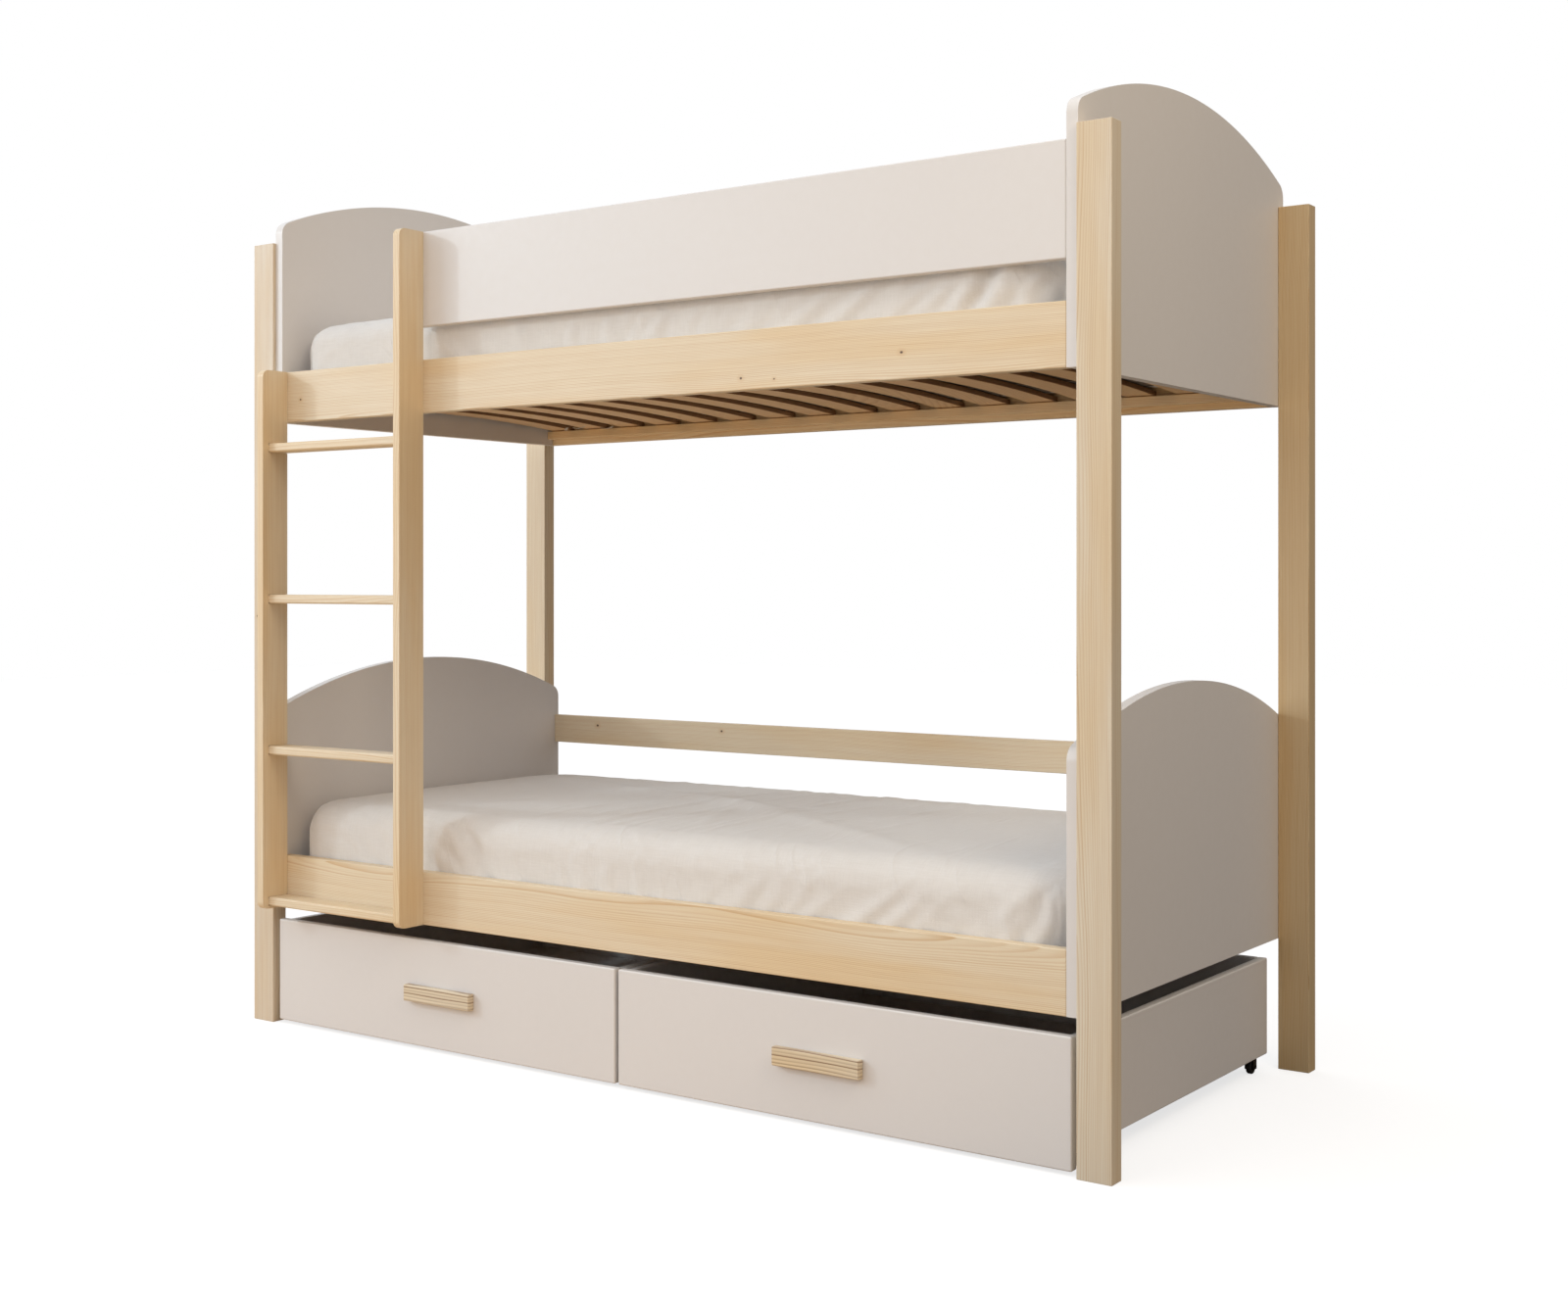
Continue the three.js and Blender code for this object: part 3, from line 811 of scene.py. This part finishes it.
def seed_wrinkles(cushion, vertices):
    """Shifts the cloth slightly outward along slanting ripples, so that it buckles along them."""
    for vertex in vertices:
        offset = vertex.co - cushion.middle
        outward = Vector((offset.x / cushion.half.x, offset.y / cushion.half.y, offset.z / cushion.half.z))
        power = Vector((outward.x ** 7, outward.y ** 7, outward.z ** 5))
        slant = Vector((offset.x + 0.7 * offset.z, 0.3 * offset.y, 0.25 * offset.z))
        ripple = noise.noise(slant * RIPPLES_PER_METRE)
        vertex.co += power.normalized() * (0.5 + 0.5 * ripple) * SEED_HEIGHT


def simulate_sheet(piece, support, hem):
    """Lets a slightly too large sheet settle on its mattress, held by its elastic hem."""
    scene = bpy.context.scene
    group = piece.vertex_groups.new(name="hem")
    group.add(hem, 1.0, "REPLACE")
    support.modifiers.new("collision", "COLLISION")
    support.collision.thickness_outer = CLOTH_GAP
    support.collision.cloth_friction = 12.0
    cloth = piece.modifiers.new("cloth", "CLOTH")
    settings = cloth.settings
    settings.quality = 5
    settings.mass = 0.15
    settings.tension_stiffness = 18.0
    settings.compression_stiffness = 8.0
    settings.shear_stiffness = 5.0
    settings.bending_stiffness = 0.05
    settings.tension_damping = 8.0
    settings.compression_damping = 8.0
    settings.air_damping = 2.0
    settings.shrink_min = -CLOTH_SLACK
    settings.vertex_group_mass = "hem"
    cloth.collision_settings.distance_min = CLOTH_GAP
    cloth.collision_settings.collision_quality = 2
    cloth.point_cache.frame_start = 1
    cloth.point_cache.frame_end = CLOTH_FRAMES
    for step in range(1, CLOTH_FRAMES + 1):
        scene.frame_set(step)
    settled = bpy.data.meshes.new_from_object(piece.evaluated_get(bpy.context.evaluated_depsgraph_get()))
    places = [vertex.co.copy() for vertex in settled.vertices]
    piece.modifiers.remove(cloth)
    bpy.data.meshes.remove(settled)
    scene.frame_set(1)
    return places


def settle(piece, support, hem):
    """Takes over the settled shape, with a limit on how far any point has moved."""
    for vertex, place in zip(piece.data.vertices, simulate_sheet(piece, support, hem)):
        move = place - vertex.co
        if move.length > CLOTH_REACH:
            move *= CLOTH_REACH / move.length
        vertex.co += move
    piece.data.update()


def press_folds(piece, folds):
    """Raises ridges, or presses in creases, along straight lines on the sheet."""
    pushes = []
    for vertex in piece.data.vertices:
        push = 0.0
        for start, end, width, height in folds:
            run = Vector(end) - Vector(start)
            share = (vertex.co - Vector(start)).dot(run) / run.length_squared
            if not -0.5 < share < 1.5:
                continue
            beside = (vertex.co - Vector(start) - run * share).length / width
            beyond = max(0.0, -share, share - 1.0)
            push += height * math.exp(-beside * beside) * math.cos(math.pi * beyond) ** 2
        pushes.append(vertex.normal * push)
    for vertex, push in zip(piece.data.vertices, pushes):
        vertex.co += push


def open_edge(faces):
    """The vertices along the edge of an open surface."""
    uses = {}
    for face in faces:
        for pair in zip(face, face[1:] + face[:1]):
            key = tuple(sorted(pair))
            uses[key] = uses.get(key, 0) + 1
    return sorted({vertex for key, count in uses.items() if count == 1 for vertex in key})


def make_first_sheet(tier):
    """The fitted sheet of one mattress, wrinkled by a simulation."""
    cushion = Cushion(tier)
    vertices, faces = fitted_surface(cushion)
    piece = new_piece(f"fitted_sheet_{tier}", vertices, faces, linen)
    support = make_cloth_support(tier)
    seed_wrinkles(cushion, piece.data.vertices)
    settle(piece, support, open_edge(faces))
    bpy.data.objects.remove(support)
    return piece


def make_turned_sheet(tier, first, first_tier):
    """The same sheet on another mattress, turned end for end so that its wrinkles differ."""
    old, new = Cushion(first_tier).middle, Cushion(tier).middle
    vertices = []
    for vertex in first.data.vertices:
        offset = vertex.co - old
        offset.z *= TURNED_HEIGHT if offset.z > 0 else 1.0
        vertices.append(new + Vector((-offset.x, -offset.y, offset.z)))
    faces = [tuple(face.vertices) for face in first.data.polygons]
    return new_piece(f"fitted_sheet_{tier}", vertices, faces, linen)


def finish_sheet(piece, folds):
    press_folds(piece, folds)
    finer = piece.modifiers.new("finer", "SUBSURF")
    finer.levels = finer.render_levels = 1


# ------------------------------------------------------------------ floor, light and camera

FLOOR_HALF = 14.0
FLOOR_AWAY = (0.75, 0.65, 0.0)      # the way from the main light
FLOOR_FADE = (-0.4, 1.2)            # from lit to shaded, in metres that way
FLOOR_GLOW = 0.60                   # how much of the floor's look is an even white glow
FLOOR_LIT = rgb(206, 180, 150)      # what the floor throws back in front of the bed
FLOOR_SHADED = rgb(64, 55, 46)      # and in the bed's shadow, to the right and behind it
WORLD_LIGHT = (                     # light from the sides of the studio: direction, colour
    ((0.0, 0.0, 1.0), (0.72, 0.71, 0.72)),
    ((0.0, -1.0, 0.0), (0.26, 0.26, 0.27)),
    ((-1.0, 0.0, 0.0), (0.92, 1.00, 1.05)),
    ((1.0, 0.0, 0.0), (0.24, 0.20, 0.16)),
)


def seen_by_camera(tree):
    return tree.nodes.new("ShaderNodeLightPath").outputs["Is Camera Ray"]


def make_floor():
    """The camera sees a pale floor that melts into the white, and the bed gets a warm, uneven bounce."""
    corners = [(-FLOOR_HALF, -FLOOR_HALF, 0), (FLOOR_HALF, -FLOOR_HALF, 0),
               (FLOOR_HALF, FLOOR_HALF, 0), (-FLOOR_HALF, FLOOR_HALF, 0)]
    mesh = bpy.data.meshes.new("floor")
    mesh.from_pydata(corners, [], [(0, 1, 2, 3)])
    floor = bpy.data.objects.new("floor", mesh)
    bpy.context.scene.collection.objects.link(floor)
    tree = Tree("floor")
    speckle = tree.noise(tree.place(), 40.0)
    mesh.materials.append(tree.surface(tree.mix(speckle, rgb(248, 248, 248), rgb(252, 252, 252)), 0.9))
    glow = tree.node("ShaderNodeEmission")
    glow.inputs["Strength"].default_value = 1.2
    pale = tree.node("ShaderNodeMixShader")
    pale.inputs[0].default_value = FLOOR_GLOW
    tree.join(tree.shader.outputs[0], pale.inputs[1])
    tree.join(glow.outputs[0], pale.inputs[2])
    dull = tree.node("ShaderNodeBsdfDiffuse")
    away = tree.vector("DOT_PRODUCT", tree.place(), FLOOR_AWAY)
    shaded = tree.remap(away, *FLOOR_FADE, smooth=True)
    tree.join(tree.mix(shaded, FLOOR_LIT, FLOOR_SHADED), dull.inputs["Color"])
    both = tree.node("ShaderNodeMixShader")
    tree.join(seen_by_camera(tree.tree), both.inputs[0])
    tree.join(dull.outputs[0], both.inputs[1])
    tree.join(pale.outputs[0], both.inputs[2])
    tree.join(both.outputs[0], tree.output.inputs["Surface"])


def world_math(tree, kind, operation, *values):
    """Adds a math node of the world, with a link or a plain value for each of its inputs."""
    made = tree.nodes.new(kind)
    made.operation = operation
    for target, value in values:
        if isinstance(value, bpy.types.NodeSocket):
            tree.links.new(value, made.inputs[target])
        else:
            made.inputs[target].default_value = value
    return made.outputs


def make_world():
    """Soft light from above and from each side, before a white background."""
    world = bpy.data.worlds.new("studio")
    world.use_nodes = True
    tree = world.node_tree
    direction = tree.nodes.new("ShaderNodeTexCoord").outputs["Generated"]
    total = (0.0, 0.0, 0.0)
    for axis, colour in WORLD_LIGHT:
        facing = world_math(tree, "ShaderNodeVectorMath", "DOT_PRODUCT", (0, direction), (1, axis))["Value"]
        clipped = world_math(tree, "ShaderNodeMath", "MAXIMUM", (0, facing), (1, 0.0))[0]
        lobe = world_math(tree, "ShaderNodeVectorMath", "SCALE", (0, colour), ("Scale", clipped))["Vector"]
        total = world_math(tree, "ShaderNodeVectorMath", "ADD", (0, total), (1, lobe))["Vector"]
    chosen = tree.nodes.new("ShaderNodeMix")
    chosen.data_type = "VECTOR"
    tree.links.new(seen_by_camera(tree), chosen.inputs["Factor"])
    tree.links.new(total, chosen.inputs[4])
    chosen.inputs[5].default_value = (1.0, 1.0, 1.0)
    tree.links.new(chosen.outputs[1], tree.nodes["Background"].inputs["Color"])
    bpy.context.scene.world = world


def make_light(name, position, target, size, watts, colour):
    lamp = bpy.data.lights.new(name, "AREA")
    lamp.size = size
    lamp.energy = watts
    lamp.color = colour
    holder = bpy.data.objects.new(name, lamp)
    holder.location = position
    holder.visible_camera = False
    holder.rotation_euler = (Vector(target) - Vector(position)).to_track_quat("-Z", "Y").to_euler()
    bpy.context.scene.collection.objects.link(holder)


def make_lights():
    bed_middle = (0.0, 0.0, 0.8)
    upper_right = (0.8, 0.0, 1.2)
    make_light("key", (-5.4, -3.8, 3.3), bed_middle, 0.35, 60.0, (0.77, 0.91, 1.0))
    make_light("softbox", (-5.6, -4.8, 2.6), bed_middle, 3.2, 74.0, (0.80, 0.91, 1.0))
    make_light("window", (-4.5, -0.9, 1.8), bed_middle, 2.4, 14.0, (1.0, 0.95, 0.95))
    make_light("front", (-0.5, -4.3, 2.3), bed_middle, 2.6, 27.0, (1.0, 0.97, 0.95))
    make_light("fill", (2.9, -1.3, 2.9), upper_right, 1.4, 30.0, (1.0, 0.84, 0.62))


def make_camera():
    camera_data = bpy.data.cameras.new("camera")
    camera_data.lens = 44.82
    camera_data.sensor_width = 36.0
    camera_data.shift_y = -0.0441
    camera_data.clip_end = 100.0
    camera = bpy.data.objects.new("camera", camera_data)
    camera.location = (2.2940, -3.1124, 0.9193)
    camera.rotation_euler = (math.radians(90.0), 0.0, math.radians(35.30))
    bpy.context.scene.collection.objects.link(camera)
    bpy.context.scene.camera = camera


make_camera()
make_floor()
make_world()
make_lights()
bpy.context.scene.view_settings.view_transform = "Standard"

dress_frame()
laminated = laminated_side()
for tier in TIERS:
    make_slats(tier)
    make_tapes(tier)
    make_tape_ends(tier)
cores = {tier: make_mattress(tier) for tier in TIERS}
lower_sheet = make_first_sheet("lower")
upper_sheet = make_turned_sheet("upper", lower_sheet, "lower")
finish_sheet(lower_sheet, SHEET_FOLDS["lower"])
finish_sheet(upper_sheet, SHEET_FOLDS["upper"])
